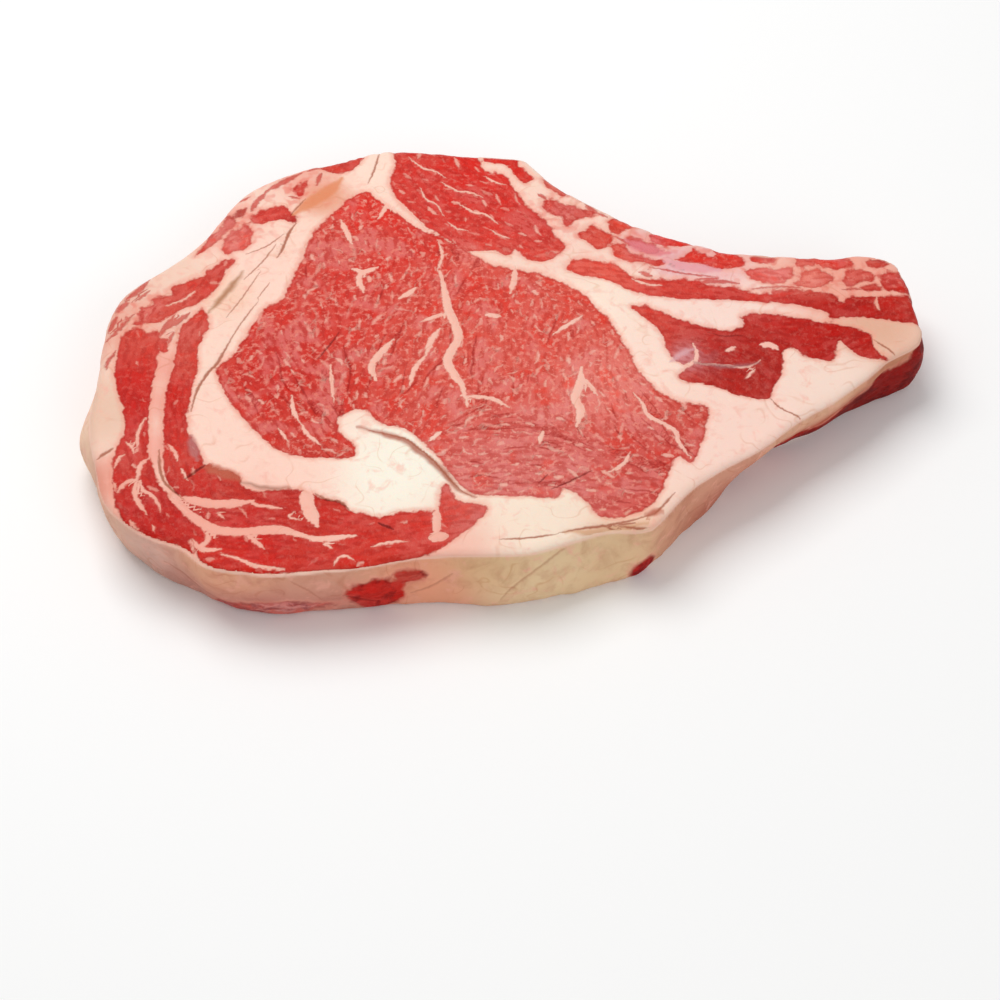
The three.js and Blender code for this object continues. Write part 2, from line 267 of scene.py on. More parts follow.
STREAKS = [
    ([(-19.5, 29), (-18.3, 22), (-17, 14), (-15, 8), (-14, 3), (-16, -2), (-17, -6),
      (-15, -11), (-13, -15), (-11.3, -22.5)], 2.6),
    ([(-16.5, 12.4), (-20, 11.4), (-24.5, 9.3)], 1.2),
    ([(-12.5, -19.5), (-8, -19.8), (-4, -20.6), (0, -23.4)], 1.4),
    ([(-19.5, 6), (-21.6, 2), (-23, -3)], 1.9),
    ([(-23, -4), (-26, -8.5), (-27.4, -15)], 1.4),
    ([(-32.5, 2), (-36, -3), (-38.3, -8), (-37, -12.5)], 2.3),
    ([(20.5, -9), (20, -15), (18.5, -20), (20, -25), (18.8, -30)], 2.6),
    ([(20.6, -12.5), (22.5, -15), (24.5, -18.5)], 1.3),
    ([(35, -18.5), (37, -21.5), (38.3, -26), (43, -29.5), (46, -32.5), (46.5, -36),
      (49.5, -41)], 1.4),
    ([(-49, 51), (-47.4, 46.5), (-45.6, 41.5)], 1.6),
    ([(-35.6, 58), (-36.5, 54.5), (-38, 51.5)], 1.3),
    ([(-44.5, 30.5), (-41.5, 29.4), (-38, 31)], 1.9),
    ([(-42.6, 29.5), (-42.8, 25.5), (-41.5, 21.5)], 1.8),
    ([(-31, 18.6), (-28.6, 20.4), (-26.5, 22.6)], 1.6),
    ([(-39.5, 64), (-33.5, 58), (-28.8, 52), (-24.5, 46.5)], 3.4),
    ([(2, 30.5), (1.8, 26), (0.8, 21)], 1.9),
    ([(-20, 41), (-19, 35.5), (-20.5, 29.5)], 0.9),
    ([(21, 11.6), (17.5, 8.6), (13, 4.6)], 1.2),
    ([(-6, 12), (-2.5, 11.4)], 1.7),
    ([(9.5, -32.5), (8.6, -36)], 1.4),
    ([(27.5, -46.4), (31, -44), (33.2, -39.8)], 1.1),
    ([(-21.4, -35.4), (-18.6, -32.6)], 1.2),
    ([(-48.3, -21), (-49, -15), (-49.8, -7.5)], 1.0),
    ([(-60, -19), (-59.4, -24), (-57.5, -28.5)], 1.1),
    ([(-57, -29), (-55, -33), (-51.5, -36.5)], 1.2),
    ([(-63, -31), (-60.5, -35)], 1.0),
    # the muscle behind the eye
    ([(-19.5, 66.4), (-15, 62.8), (-11, 62), (-7.5, 60.2)], 0.8),
    ([(-29.5, 77.4), (-25.5, 73), (-21.5, 71.4), (-18.5, 68.4)], 0.7),
    ([(-15, 57.8), (-10.5, 54), (-7, 53), (-3, 49)], 0.8),
    ([(-26, 64), (-24.2, 59.4), (-21, 57), (-19, 52.6)], 0.6),
    ([(-6.6, 69), (-3.6, 66.4), (-1, 65.6)], 0.7),
    ([(-5, 46.2), (-2.4, 44), (0.4, 43)], 0.7),
    ([(-17.5, 49.5), (-15, 47), (-11.6, 46)], 0.6),
    # the lower cap
    ([(-88.4, -55.2), (-84.7, -56.4), (-79.7, -57.6), (-74.7, -57.6), (-69, -56.8)], 2.9),
    ([(-71, -57), (-66.3, -58.3), (-61, -59.4)], 1.1),
    ([(-90.4, -56.2), (-84.7, -61.4), (-80.2, -65.2), (-75.8, -66.8), (-69.7, -67.3),
      (-64.7, -66.8), (-59.7, -67), (-55.2, -68.7), (-51.3, -70)], 2.9),
    ([(-55, -68.6), (-51.3, -70), (-46.3, -69.6), (-41, -68.8)], 1.9),
    ([(-81.6, -66), (-80.2, -68), (-80, -69.8), (-82.2, -71.8), (-83.8, -69.4)], 1.4),
    ([(-82.6, -71.4), (-80.8, -72.9), (-76.4, -72.9)], 1.4),
    ([(-69.8, -68.4), (-66.9, -71), (-65, -72.8)], 1.4),
    ([(-76, -74.8), (-70.8, -76.8), (-68, -78.4), (-64.7, -79.3), (-59.6, -79.9)], 1.1),
    ([(-78, -60.6), (-76.2, -62.4)], 0.8),
    ([(-54.2, -52), (-54, -58), (-51.2, -64.8)], 3.9),
    ([(-57.6, -60.6), (-58.6, -62.4), (-56, -63.4)], 0.8),
    ([(-19.2, -59.5), (-19.2, -64.5), (-18.8, -68.5)], 2.3),
    ([(-19.4, -69.4), (-17.8, -69)], 3.0),
    ([(-46, -78.4), (-45.2, -76.6), (-43.4, -75.6), (-41, -77)], 0.8),
    ([(-49, -71.6), (-47, -73)], 0.9),
    ([(-36, -72.6), (-31, -71), (-27, -70.6)], 0.9),
    # the outer cap at the left end
    ([(-98, -41.6), (-100, -44.3), (-100.2, -49)], 1.4),
    ([(-100.4, -48.8), (-103.8, -50.7), (-105.2, -53.6)], 1.3),
    ([(-100.6, -49), (-100.6, -54), (-99.4, -57.3), (-97, -61)], 1.4),
    ([(-99.6, -49.4), (-98.5, -53), (-96.3, -54.6), (-94, -57.6), (-93.4, -59.8)], 1.1),
    ([(-100, -27.5), (-101.6, -33), (-101, -39)], 1.0),
    ([(-104.4, -36), (-102.4, -38.4), (-102, -40)], 0.9),
    ([(-107, -45), (-106, -41.6), (-104.6, -40.6)], 0.9),
    ([(-106.8, -50), (-105.8, -53)], 0.8),
    ([(-101, -63.4), (-99, -66.4)], 1.1),
    ([(-95, -65), (-94.4, -66.6)], 0.9),
    ([(-93, -36.6), (-90.8, -39.6), (-90.2, -42)], 1.1),
    ([(-97.6, 16), (-93, 18.4), (-89.6, 22)], 0.7),
    ([(-88.6, -45.4), (-87, -49)], 0.8),
    # the dark muscle and the long band
    ([(43.5, -9.6), (50, -7.6), (53, -4.4), (52.4, 0.6)], 1.3),
    ([(52.6, -6.6), (60, -7.2), (67, -7.8), (70.5, -5.4)], 0.9),
    ([(66.4, -11.8), (69, -9)], 0.9),
    ([(61.5, -1.6), (64, -0.4)], 1.1),
    ([(75.6, -0.6), (73.6, 0.8), (71.6, 0.6)], 1.9),
    ([(36, 26.6), (40, 24.4), (44, 24)], 0.9),
    ([(105.6, 20), (105.4, 17.4), (106, 15.2)], 0.9),
]

# How far apart the small flecks of fat lie. The long band and the dark muscle have none.
FLECK_SPACING = [
    (EYE, 2.4), (TOP_MUSCLE, 4.0), (CAP_UPPER, 8.0), (CAP_INNER, 6.5), (CAP_OUTER, 9.0),
    (CAP_LOWER, 8.0),
]

# ---- creases: grooves pressed into the mesh, with painted shade laid along them: points, width, depth ----

CREASES = [
    ([(-71.5, 18), (-74.5, 12), (-77.5, 5), (-81.5, -5)], 0.4, 0.35),
    ([(-78, 4), (-81.5, -5), (-84.4, -11), (-86.6, -17), (-87.6, -24)], 0.9, 1.0),
    ([(-62.2, 50.4), (-64.2, 45), (-65.5, 39.3), (-67, 35.6)], 0.9, 1.1),
    ([(-76, 37), (-72.4, 38.8), (-69.4, 41), (-65.8, 45)], 0.4, 0.4),
    ([(-68.5, 25.4), (-71.6, 19.4)], 0.35, 0.3),
    ([(-38.4, 80), (-39.6, 73), (-41.4, 66.5)], 0.6, 0.8),
    ([(-111.5, -41.4), (-108, -38)], 1.0, 0.9),
    ([(-82.6, -43.6), (-85, -46), (-87.4, -48.6)], 0.9, 1.0),
    ([(-95.2, -39), (-94.6, -45), (-93.1, -49.6), (-90.8, -52.4), (-87.6, -55.6)], 0.9, 0.8),
    ([(-51.9, -54), (-48.6, -56), (-45.2, -56.9), (-42.6, -59.8)], 0.8, 0.6),
    ([(-38, -31.6), (-28.7, -34.6), (-24.4, -38.4), (-20.1, -43), (-13.6, -52.2),
      (-9.8, -55.2)], 0.7, 0.9),
    ([(-48, 5.5), (-50, 1), (-53.4, -4.4)], 0.5, 0.7),
    ([(12, -52), (17, -49.2), (22.4, -46)], 0.5, 0.7),
    ([(-34.5, -64.4), (-31, -66.2)], 1.0, 0.9),
    ([(-2.2, -70), (5.2, -69.4), (12.7, -67.6)], 0.6, 0.7),
    ([(14, -66.8), (20, -64.8), (26.1, -63.6), (32.9, -62.6), (38.8, -61)], 0.7, 0.9),
    ([(26, -63.8), (28.6, -65.2), (29.4, -66.6)], 0.6, 0.8),
    ([(29.5, -64), (34.4, -65), (38.6, -65.2)], 0.6, 0.7),
    ([(38.8, -61.4), (41.4, -58.2), (44.6, -54)], 0.6, 0.6),
    ([(72.8, -19.4), (75.4, -23.2), (81.6, -27)], 0.6, 0.8),
    ([(103.6, 3.6), (109.6, -2.6)], 0.6, 0.7),
    ([(-67.5, 41), (-71, 34), (-76, 27)], 0.4, 0.5),
    ([(-71.5, 30), (-76.5, 19), (-80, 12)], 0.35, 0.4),
    ([(-60, 60), (-64, 54)], 0.5, 0.5),
    ([(10.5, -47.4), (8.2, -50.2)], 0.4, 0.5),
    ([(57, 5.6), (61, 4.4), (66, 4.6)], 0.35, 0.3),
]

# ---- how the fibres run: plan position and direction in degrees from +X ----

FIBRES = [
    (-45, 45, 110), (-25, 20, 72), (-62, 5, 110), (-60, -25, 118), (-25, -10, 68), (0, 2, 86),
    (20, -15, 90), (38, -28, 122), (0, -45, 178), (30, -50, 165), (-10, 58, 148), (-28, 70, 130),
    (30, 29, 165), (80, 19, 2), (60, 0, 165), (75, -10, 110), (-90, 20, 45), (-98, 0, 92),
    (-103, -30, 88), (-100, -58, 125), (-86, -40, 110), (-60, -57, 178), (-60, -75, 178),
    (-25, -68, 12), (60, 36, 170), (15, 62, 125), (-75, 55, 40), (90, -10, 30), (-70, 20, 60),
]
FIBRE_BLEND = 16.0

# ---- colours, as sRGB bytes ----

TINT_STRENGTH = 6.0  # how strongly a patch outweighs the base colour at its middle

LEAN = (208, 74, 60)
# Two of these patches are painted sheen, one wholly and one in part.
LEAN_TINTS_AND_SHEEN = [  # plan position, reach and colour of a patch of lean
    (0, 0, 40, (220, 88, 74)),
    (25, -15, 12, (240, 148, 136)),
    (6, 8, 8, (224, 92, 80)),
    (-52, 28, 20, (210, 70, 60)),
    (-40, 55, 8, (224, 46, 30)),
    (-34, 34, 7, (220, 50, 36)),
    (-42, 12, 10, (214, 48, 36)),
    (-62, -8, 15, (204, 20, 12)),
    (-8, 20, 8, (218, 60, 46)),
    # the pale pink of the lower eye, partly painted sheen
    (5, -45, 20, (218, 124, 118)),
    (38, -42, 14, (208, 86, 78)),
    (-55, -20, 18, (206, 58, 44)),
    (-12, 58, 22, (212, 50, 42)),
    (-9, 34, 4.5, (240, 140, 126)),
    (3, 42, 6, (220, 82, 72)),
    (-4, 72, 8, (226, 38, 22)),
    (10, 47, 7, (206, 38, 32)),
    (25, 31, 10, (234, 98, 82)),
    (62, 21, 18, (216, 64, 54)),
    (102, 15, 13, (180, 26, 16)),
    (64, 3, 15, (164, 20, 14)),
    (66, -10, 12, (172, 30, 22)),
    (88, 5, 14, (184, 12, 6)),
    # painted sheen on the dark muscle
    (51, -4, 4.5, (216, 164, 170)),
    (58, -5, 4, (178, 92, 94)),
    (-104, -20, 14, (198, 18, 8)),
    (-96, -62, 12, (190, 14, 6)),
    (-91, 0, 12, (212, 84, 70)),
    (-70, -77, 12, (208, 28, 12)),
    (-60, -58, 16, (192, 34, 22)),
    (-35, -70, 14, (208, 50, 36)),
    (-70, 55, 8, (216, 70, 60)),
    (-79, 44, 5, (232, 134, 124)),
    (-86, 46, 5, (216, 116, 104)),
    (-79, 55, 3, (176, 100, 88)),
    (-62.5, 51, 2.5, (168, 16, 14)),
    (14, 66, 4, (222, 118, 102)),
    (17, 54, 6, (212, 102, 94)),
    (26, 44, 5, (212, 74, 60)),
    (33, 49, 5, (224, 90, 72)),
    (41, 40.5, 4, (226, 128, 136)),
    (48, 43, 6, (228, 46, 32)),
    (62, 36, 7, (226, 56, 42)),
    (76, 28, 5.5, (250, 160, 152)),
    (88, 27, 5, (250, 154, 136)),
    (101, 28, 5, (232, 116, 102)),
    (94, 34, 5, (226, 52, 38)),
    (110, 26, 6, (212, 62, 50)),
]
FAT = (246, 210, 192)
FAT_TINTS_AND_SHEEN = [  # the same for a patch of fat
    (-30, -46, 14, (247, 243, 226)),
    (-60, -45, 12, (249, 206, 189)),
    (-77, -28, 12, (247, 208, 191)),
    (8, -62, 16, (247, 228, 207)),
    (38, -5, 14, (251, 220, 204)),
    (24, 16, 12, (251, 228, 210)),
    (60, 16, 16, (248, 218, 206)),
    (62, -32, 18, (248, 212, 198)),
    (88, -14, 12, (245, 218, 203)),
    (104, 8, 9, (222, 170, 142)),
    (-112, -24, 9, (226, 186, 162)),
    (-112, 12, 12, (226, 160, 140)),
    (-96.5, -8, 5, (236, 156, 140)),
    (-97, -22, 5, (236, 156, 140)),
    (-96, -38, 5, (236, 156, 140)),
    (-86, -60, 6, (240, 172, 156)),
    (-70, -62, 10, (238, 166, 148)),
    (-110, -50, 6, (224, 140, 120)),
    (-68, 28, 12, (248, 209, 192)),
    (-80, 22, 6, (240, 196, 170)),
    (-55, 61, 5, (222, 136, 98)),
    (-62, 69, 7, (234, 164, 146)),
    (-68, 61, 5, (244, 206, 188)),
    (-84, 50, 8, (236, 172, 156)),
    (-100, 29, 10, (237, 200, 180)),
    (-38, 74, 7, (251, 218, 200)),
    (20, 42, 14, (245, 206, 190)),
    # painted sheen on the fat of the rib side, this entry and the next
    (60, 31, 8, (232, 160, 168)),
    (49, 33, 5, (222, 160, 175)),
    (38, 40, 5, (224, 140, 150)),
    (95, 29, 14, (238, 158, 140)),
    (-14, -72, 10, (240, 178, 160)),
    (30, -66, 8, (232, 186, 156)),
    (-95, -68, 10, (226, 150, 130)),
]
# Films and stains that lie over lean and fat alike, among them painted shade and painted sheen:
# points, width and colour.
STAINS_SHADE_AND_SHEEN = [
    # painted shade: the brown shadow along the crease under the white fat
    ([(-40.4, -30.7), (-35.7, -32.4), (-28.7, -35.3), (-24.4, -39.3), (-20.1, -43.8),
      (-16.6, -48.2), (-13.6, -52.7), (-9.8, -55.2)], 2.0, (176, 96, 76)),
    ([(-76.8, 29), (-80, 23), (-82.4, 18.8), (-84.8, 14.4)], 1.6, (170, 112, 74)),
    # painted shade: the band of fat in shadow along the top of the lower cap, this entry and the
    # next
    ([(-82, -44.6), (-77, -46.8), (-73, -48.8)], 3.2, (190, 96, 72)),
    ([(-71.6, -50.2), (-66, -52), (-59.6, -52)], 0.9, (160, 104, 84)),
    ([(-50, 67.4), (-53.7, 62.6), (-57.3, 59.4), (-62, 55)], 4.2, (222, 136, 94)),
    ([(-86.8, -34.6), (-86, -38), (-85, -41)], 2.6, (186, 112, 108)),
    # painted sheen on the rib side
    ([(46.6, 33.4), (52, 31.4), (60, 30.4)], 3.6, (230, 160, 166)),
    ([(35.6, 41.6), (40, 39), (45.6, 37.4)], 3.8, (224, 124, 130)),
    ([(47, 32.2), (50.6, 30)], 0.7, (150, 112, 120)),
    ([(53, -6.4), (61, -7.6), (69.6, -6.4)], 1.2, (160, 90, 92)),
    # painted sheen on the dark muscle
    ([(46.4, -5.4), (48.6, -3), (51.4, -1.4)], 2.0, (220, 166, 170)),
    ([(-101, 33.4), (-95, 36)], 1.2, (226, 170, 150)),
    ([(16, -66.4), (26, -65), (36, -64)], 2.2, (214, 164, 128)),
    ([(37.6, -61), (40.2, -60)], 1.8, (184, 84, 60)),
]

# The wall's tissue: plan position and height, reach along and up, colour.
WALL = (216, 158, 130)
WALL_TINTS = [
    (-117, -24, 12, 12, 14, (250, 212, 184)),
    (-116, 8, 12, 12, 14, (236, 180, 156)),
    (-106, -60, 16, 10, 10, (234, 186, 160)),
    (-97, -68, 15, 8, 7, (224, 180, 168)),
    (-88, -73, 6, 12, 6, (184, 126, 116)),
    (-78, -79, 17, 12, 9, (234, 170, 138)),
    (-62, -80, 6, 18, 7, (184, 108, 104)),
    (-100, -66, 8, 8, 10, (204, 164, 150)),
    (-52, -80, 13, 8, 8, (212, 152, 130)),
    (-22, -77, 12, 10, 12, (236, 160, 128)),
    (-6, -76, 18, 10, 7, (222, 184, 138)),
    (12, -73, 12, 16, 14, (232, 206, 164)),
    (26, -68, 10, 12, 14, (226, 192, 150)),
    (46, -58, 12, 8, 14, (208, 146, 118)),
    (60, -44, 16, 10, 8, (210, 148, 124)),
    (62, -42, 5, 14, 7, (176, 92, 74)),
    (85, -22, 19, 14, 4.5, (228, 180, 148)),
    (88, -20, 9, 24, 6, (182, 66, 40)),
    (108, -2, 19, 12, 4, (206, 140, 106)),
    (110, -2, 12, 10, 5, (128, 60, 40)),
    (118, 14, 12, 10, 14, (180, 86, 64)),
    (-60, 74, 12, 26, 14, (226, 172, 146)),
    (20, 62, 12, 24, 14, (228, 168, 146)),
    (80, 37, 12, 26, 14, (228, 158, 136)),
]
# Meat that shows in the near wall: plan position and height, half width, half height and colour.
# Low at the tail its colour is red meat darkened with painted shade under the overhang.
# At the back the muscles of the cut face run through to the wall instead.
WALL_MEAT_COLOR = (186, 44, 34)
WALL_MEAT_AND_SHADE = [
    (-35.5, -79, 9, 8, 7.5, (206, 40, 30)),
    (-26, -77.4, 15, 4, 2.2, (196, 84, 70)),
    (-60, -80, 4.2, 14, 4.4, (222, 150, 142)),
    (-74, -80, 2.5, 7, 3.2, (170, 70, 72)),
    (36, -65, 3, 3.6, 3.6, (180, 24, 24)),
    (76.5, -25, 4, 4.6, 4.8, (216, 30, 18)),
    (66, -36, 3, 6, 3, (150, 62, 46)),
    # red meat darkened with painted shade under the overhang, this entry and the next three
    (86, -19, 4, 17, 5.6, (166, 34, 22)),
    (97, -9, 5.5, 19, 8, (124, 20, 14)),
    (110, -1, 8, 15, 9.5, (140, 12, 6)),
    (118, 11, 11, 14, 11, (140, 14, 8)),
    (116, 26, 9, 13, 8, (170, 36, 26)),
]

# Creases of the near wall, grooved into the mesh and darkened with painted shade,
# by distance along X and height: points, width, depth.
WALL_CREASES = [
    ([(-26, 6.5), (-20, 9.6), (-15, 14)], 0.6, 0.7),
    ([(-2, 4), (1, 9), (7, 14.6), (13, 17.6), (18, 19)], 0.6, 0.9),
    ([(-44, 9.4), (-39.5, 7), (-35, 4.6)], 1.0, 1.2),
    ([(-57, 18), (-53, 14), (-50, 9)], 0.5, 0.4),
    ([(64, 12), (74, 9.6), (84, 10.4), (96, 13.4), (106, 16.6)], 1.5, 1.2),
    ([(-92, 12), (-84, 8), (-76, 4)], 0.7, 0.5),
]

# Zones where lean and fat are finely mixed, so that their borders blur: plan position and reach.
MIXED_ZONES = [
    (20, 56, 16), (40, 42, 14), (62, 35, 13), (80, 30, 13), (98, 30, 14), (112, 28, 10),
    (-80, 50, 14), (-64, 64, 12), (-106, 14, 12),
]

MIXED_SOFTENING = 0.3  # how much shallower the lean is there

# How speckled the lean of a muscle is, from 0 to 1.
SPECKLED = [(EYE, 1.0), (TOP_MUSCLE, 0.45)]
MIXED_SPECKLE = 0.7
LEAST_SPECKLE = 0.25
WALL_CALM = 0.8  # share of the speckle that the wall loses

# Colours that the material lays over lean and fat.
PALE_LEAN = (246, 166, 148)
PINK_LEAN = (230, 140, 134)
ROSY_FAT = (240, 172, 154)
FAT_BY_LEAN = (238, 156, 136)
RIM_FAT = (246, 202, 184)
BLUSH = (224, 96, 82)
# Painted shade in the creases, over fat and over lean.
CREASE_SHADE_IN_FAT = (168, 94, 68)
CREASE_SHADE_IN_LEAN = (120, 14, 10)

# Dyes, as factors for linear light.
# darker lean: a random deeper tone along the fibres, and painted shade just inside the lean's
# border
DEEP_TONE_AND_SHADE_DYE = (0.8, 0.46, 0.42)
VIVID_DYE = (1.03, 0.56, 0.48)
# painted shade in the wrinkles
WRINKLE_SHADE_DYE = (0.62, 0.2, 0.18)
BRUISE_DYE = (0.5, 0.3, 0.35)
THREAD_DYE = (0.84, 0.66, 0.56)
FILM_DYE = (0.76, 0.6, 0.58)

SPECK_OFFSET = (37.0, 11.0, 5.0)  # sets the specks apart from the other noises
SHUFFLE = 0.618  # spreads the numbers of neighbouring strokes evenly from 0 to 1
FIBRE_SMEAR = 1.1  # how far the mottling is smeared along the fibres
SMEAR_STEPS = (-1.0, -0.33, 0.33, 1.0)

# ---- the camera and the light ----

LENS = 100.0
CAMERA_TARGET = (-2.25, -38.23, 0.0)
CAMERA_DISTANCE = 775.0
CAMERA_ELEVATION = 50.0
FLOOR_COLOR = (0.96, 0.96, 0.955)
FLOOR_HALF = 3000.0
FLOOR_GAP = 0.05
SKY_STRENGTH = 0.42
LAMPS = [  # name, place, size and power in watts
    ("key", (-300, 380, 920), 700, 7.0),
    ("fill", (500, -900, 700), 900, 3.6),
]


# ---- small helpers ----


def linear(srgb):
    """Linear light values of an sRGB colour given in bytes."""
    share = np.asarray(srgb, float) / 255.0
    return np.where(share <= 0.04045, share / 12.92, ((share + 0.055) / 1.055) ** 2.4)


def rgba(srgb):
    """A colour socket's value for an sRGB colour in bytes."""
    return (*linear(srgb), 1.0)


def smooth_step(low, high, value):
    """0 below low, 1 above high and a soft ramp between."""
    t = np.clip((value - low) / (high - low), 0.0, 1.0)
    return t * t * (3.0 - 2.0 * t)


def blend(share, below, above):
    """Goes from below to above as the share goes from 0 to 1."""
    return below * (1.0 - share) + above * share


def bell(distance, width):
    """1 at no distance, falling softly to nearly 0 past twice the width."""
    return np.exp(-((distance / width) ** 2))


def plan_gap(x, y, spot, reach):
    """Squared distance in plan from a spot, counted in reaches."""
    return ((x - spot[0]) ** 2 + (y - spot[1]) ** 2) / reach**2


def wall_gap(points, x, y, z, along, up):
    """Squared distance from a spot of the wall, counted in its reaches along and up."""
    return plan_gap(points[:, 0], points[:, 1], (x, y), along) + ((points[:, 2] - z) / up) ** 2


def lattice(corners, seed):
    """A repeatable value from -1 to 1 for each corner of a lattice."""
    n = (corners.astype(np.uint32) * HASH_PRIMES).sum(axis=1, dtype=np.uint32)
    n = n + np.uint32(seed * HASH_SEED_PRIME % 2**32)
    n = (n ^ (n >> np.uint32(13))) * np.uint32(HASH_MIXER)
    n = n ^ (n >> np.uint32(16))
    return n.astype(np.float64) / 2.0**31 - 1.0


def noise(points, size, seed):
    """Smooth noise from -1 to 1 whose bumps are about size across."""
    scaled = points / size + NOISE_ORIGIN
    cell = np.floor(scaled).astype(np.int64)
    part = scaled - cell
    part = part * part * part * (part * (part * 6.0 - 15.0) + 10.0)
    total = 0.0
    for corner in itertools.product((0, 1), repeat=3):
        weight = np.where(corner, part, 1.0 - part).prod(axis=1)
        total = total + weight * lattice(cell + corner, seed)
    return total


def layered_noise(points, size, seed):
    """Noise with finer and weaker layers added."""
    total = np.zeros(len(points))
    for layer in range(NOISE_LAYERS):
        share = 0.5**layer
        total += share * noise(points, size * share, seed + layer)
    return total / NOISE_SPREAD


def spline(points, closed):
    """A Catmull-Rom curve through the points, as an even polyline."""
    p = np.asarray(points, float)
    if closed:
        padded = np.vstack([p[-1], p, p[0], p[1]])
    else:
        padded = np.vstack([2 * p[0] - p[1], p, 2 * p[-1] - p[-2]])
    pieces = []
    for a, b, c, d in zip(padded, padded[1:], padded[2:], padded[3:]):
        for s in np.arange(CURVE_STEPS) / CURVE_STEPS:
            cubic = 2 * b + (c - a) * s + (2 * a - 5 * b + 4 * c - d) * s**2
            pieces.append(0.5 * (cubic + (3 * b - a - 3 * c + d) * s**3))
    if not closed:
        pieces.append(p[-1])
    return np.array(pieces)


# ---- distance fields ----


class Plan:
    """Plan positions sorted along X, so that a short segment only meets the points near it."""

    def __init__(self, x, y):
        self.order = np.argsort(x, kind="stable")
        self.x = x[self.order]
        self.y = y[self.order]
        self.size = len(x)

    def near(self, ax, bx, reach):
        """The slice of points within reach of a segment, by X alone."""
        start = np.searchsorted(self.x, min(ax, bx) - reach)
        stop = np.searchsorted(self.x, max(ax, bx) + reach)
        return slice(start, stop)

    def unsorted(self, values):
        """Values in the order in which the points were given."""
        result = np.empty_like(values)
        result[self.order] = values
        return result


def to_segment(px, py, a, b):
    """Distance to a segment, signed sideways distance and share along it."""
    length = max(math.hypot(*(b - a)), TINY)
    ux, uy = (b - a) / length
    rx = px - a[0]
    ry = py - a[1]
    run = np.clip(rx * ux + ry * uy, 0.0, length)
    distance = np.hypot(rx - run * ux, ry - run * uy)
    return distance, rx * uy - ry * ux, run / length


def loop_field(plan, loops):
    """Signed distance to a set of closed loops, positive inside, within REACH."""
    best = np.full(plan.size, -REACH)
    for loop in loops:
        curve = spline(loop, closed=True)
        span = plan.near(curve[:, 0].min(), curve[:, 0].max(), REACH)
        x = plan.x[span]
        y = plan.y[span]
        inside = np.zeros(len(x), bool)
        distance = np.full(plan.size, REACH)
        for a, b in zip(curve, np.roll(curve, -1, axis=0)):
            crosses = (a[1] > y) != (b[1] > y)
            rise = b[1] - a[1] if b[1] != a[1] else TINY
            inside ^= crosses & (x < a[0] + (y - a[1]) * (b[0] - a[0]) / rise)
            part = plan.near(a[0], b[0], REACH)
            away, _, _ = to_segment(plan.x[part], plan.y[part], a, b)
            distance[part] = np.minimum(distance[part], away)
        signed = -distance
        signed[span] = np.where(inside, distance[span], -distance[span])
        best = np.maximum(best, signed)
    return plan.unsorted(best)


# What each point feels of its nearest stroke: the signed sideways distance, the half width that
# the stroke has there, the plain distance and the stroke's number.
Strokes = namedtuple("Strokes", "side half away number")


def stroke_field(plan, strokes, clear=STROKE_CLEAR):
    """The nearest stroke at each point. Its half width turns negative away from the stroke, so
    that the space between two strokes stays empty."""
    gap = np.full(plan.size, REACH)
    felt = Strokes(
        side=np.full(plan.size, REACH),
        half=np.full(plan.size, -REACH),
        away=np.full(plan.size, REACH),
        number=np.zeros(plan.size, int),
    )
    for number, (points, width, *_) in enumerate(strokes):
        curve = spline(points, closed=False)
        steps = np.hypot(*np.diff(curve, axis=0).T)
        marks = np.concatenate([[0.0], np.cumsum(steps)]) / steps.sum()
        for i, (a, b) in enumerate(zip(curve, curve[1:])):
            part = plan.near(a[0], b[0], STROKE_REACH)
            away, side, share = to_segment(plan.x[part], plan.y[part], a, b)
            mark = marks[i] + share * (marks[i + 1] - marks[i])
            ends = smooth_step(0.0, STROKE_TAPER, np.minimum(mark, 1.0 - mark) + STROKE_BLUNTING)
            local = 0.5 * width * (STROKE_END + (1.0 - STROKE_END) * ends)
            half = local - STROKE_FALLOFF * np.maximum(0.0, away - local - clear)
            closer = away - local < gap[part]
            for target, values in zip((gap, *felt), (away - local, side, half, away, number)):
                target[part] = np.where(closer, values, target[part])
    return Strokes(*(plan.unsorted(values) for values in felt))


def fibre_angle(x, y):
    """Direction of the muscle fibres, blended between the known spots. An angle and its opposite
    mean the same fibres, so it is the doubled angles that are blended."""
    cos_sum = np.zeros(np.shape(x))
    sin_sum = np.zeros(np.shape(x))
    for *spot, degrees in FIBRES:
        weight = np.exp(-plan_gap(x, y, spot, FIBRE_BLEND)) + TINY
        cos_sum = cos_sum + weight * math.cos(2 * math.radians(degrees))
        sin_sum = sin_sum + weight * math.sin(2 * math.radians(degrees))
    return 0.5 * np.arctan2(sin_sum, cos_sum)


# ---- marbling ----


def spots_inside(rng, loop, count, margin):
    """Random plan positions that lie inside a loop, at least a margin from its edge."""
    corners = np.array(loop, float)
    low = corners.min(axis=0)
    high = corners.max(axis=0)
    spots = low + rng.random((count, 2)) * (high - low)
    depth = loop_field(Plan(spots[:, 0], spots[:, 1]), [loop])
    return spots[depth > margin]


def mostly_low(rng, limits, power):
    """A random value between the limits, the nearer to the low one the higher the power."""
    low, high = limits
    return low + (high - low) * rng.random() ** power


def fleck_at(rng, x, y):
    """A short bent stroke of fat that lies roughly along the fibres."""
    length = mostly_low(rng, FLECK_LENGTH, 3)
    width = mostly_low(rng, FLECK_WIDTH, 2)
    angle = fibre_angle(x, y) + rng.normal(0.0, FLECK_UNREST)
    bend = rng.normal(0.0, FLECK_BEND) * length
    ux, uy = math.cos(angle), math.sin(angle)
    start, end = [(x + way * ux * length / 2, y + way * uy * length / 2) for way in (-1, 1)]
    return [start, (x - uy * bend, y + ux * bend), end], width


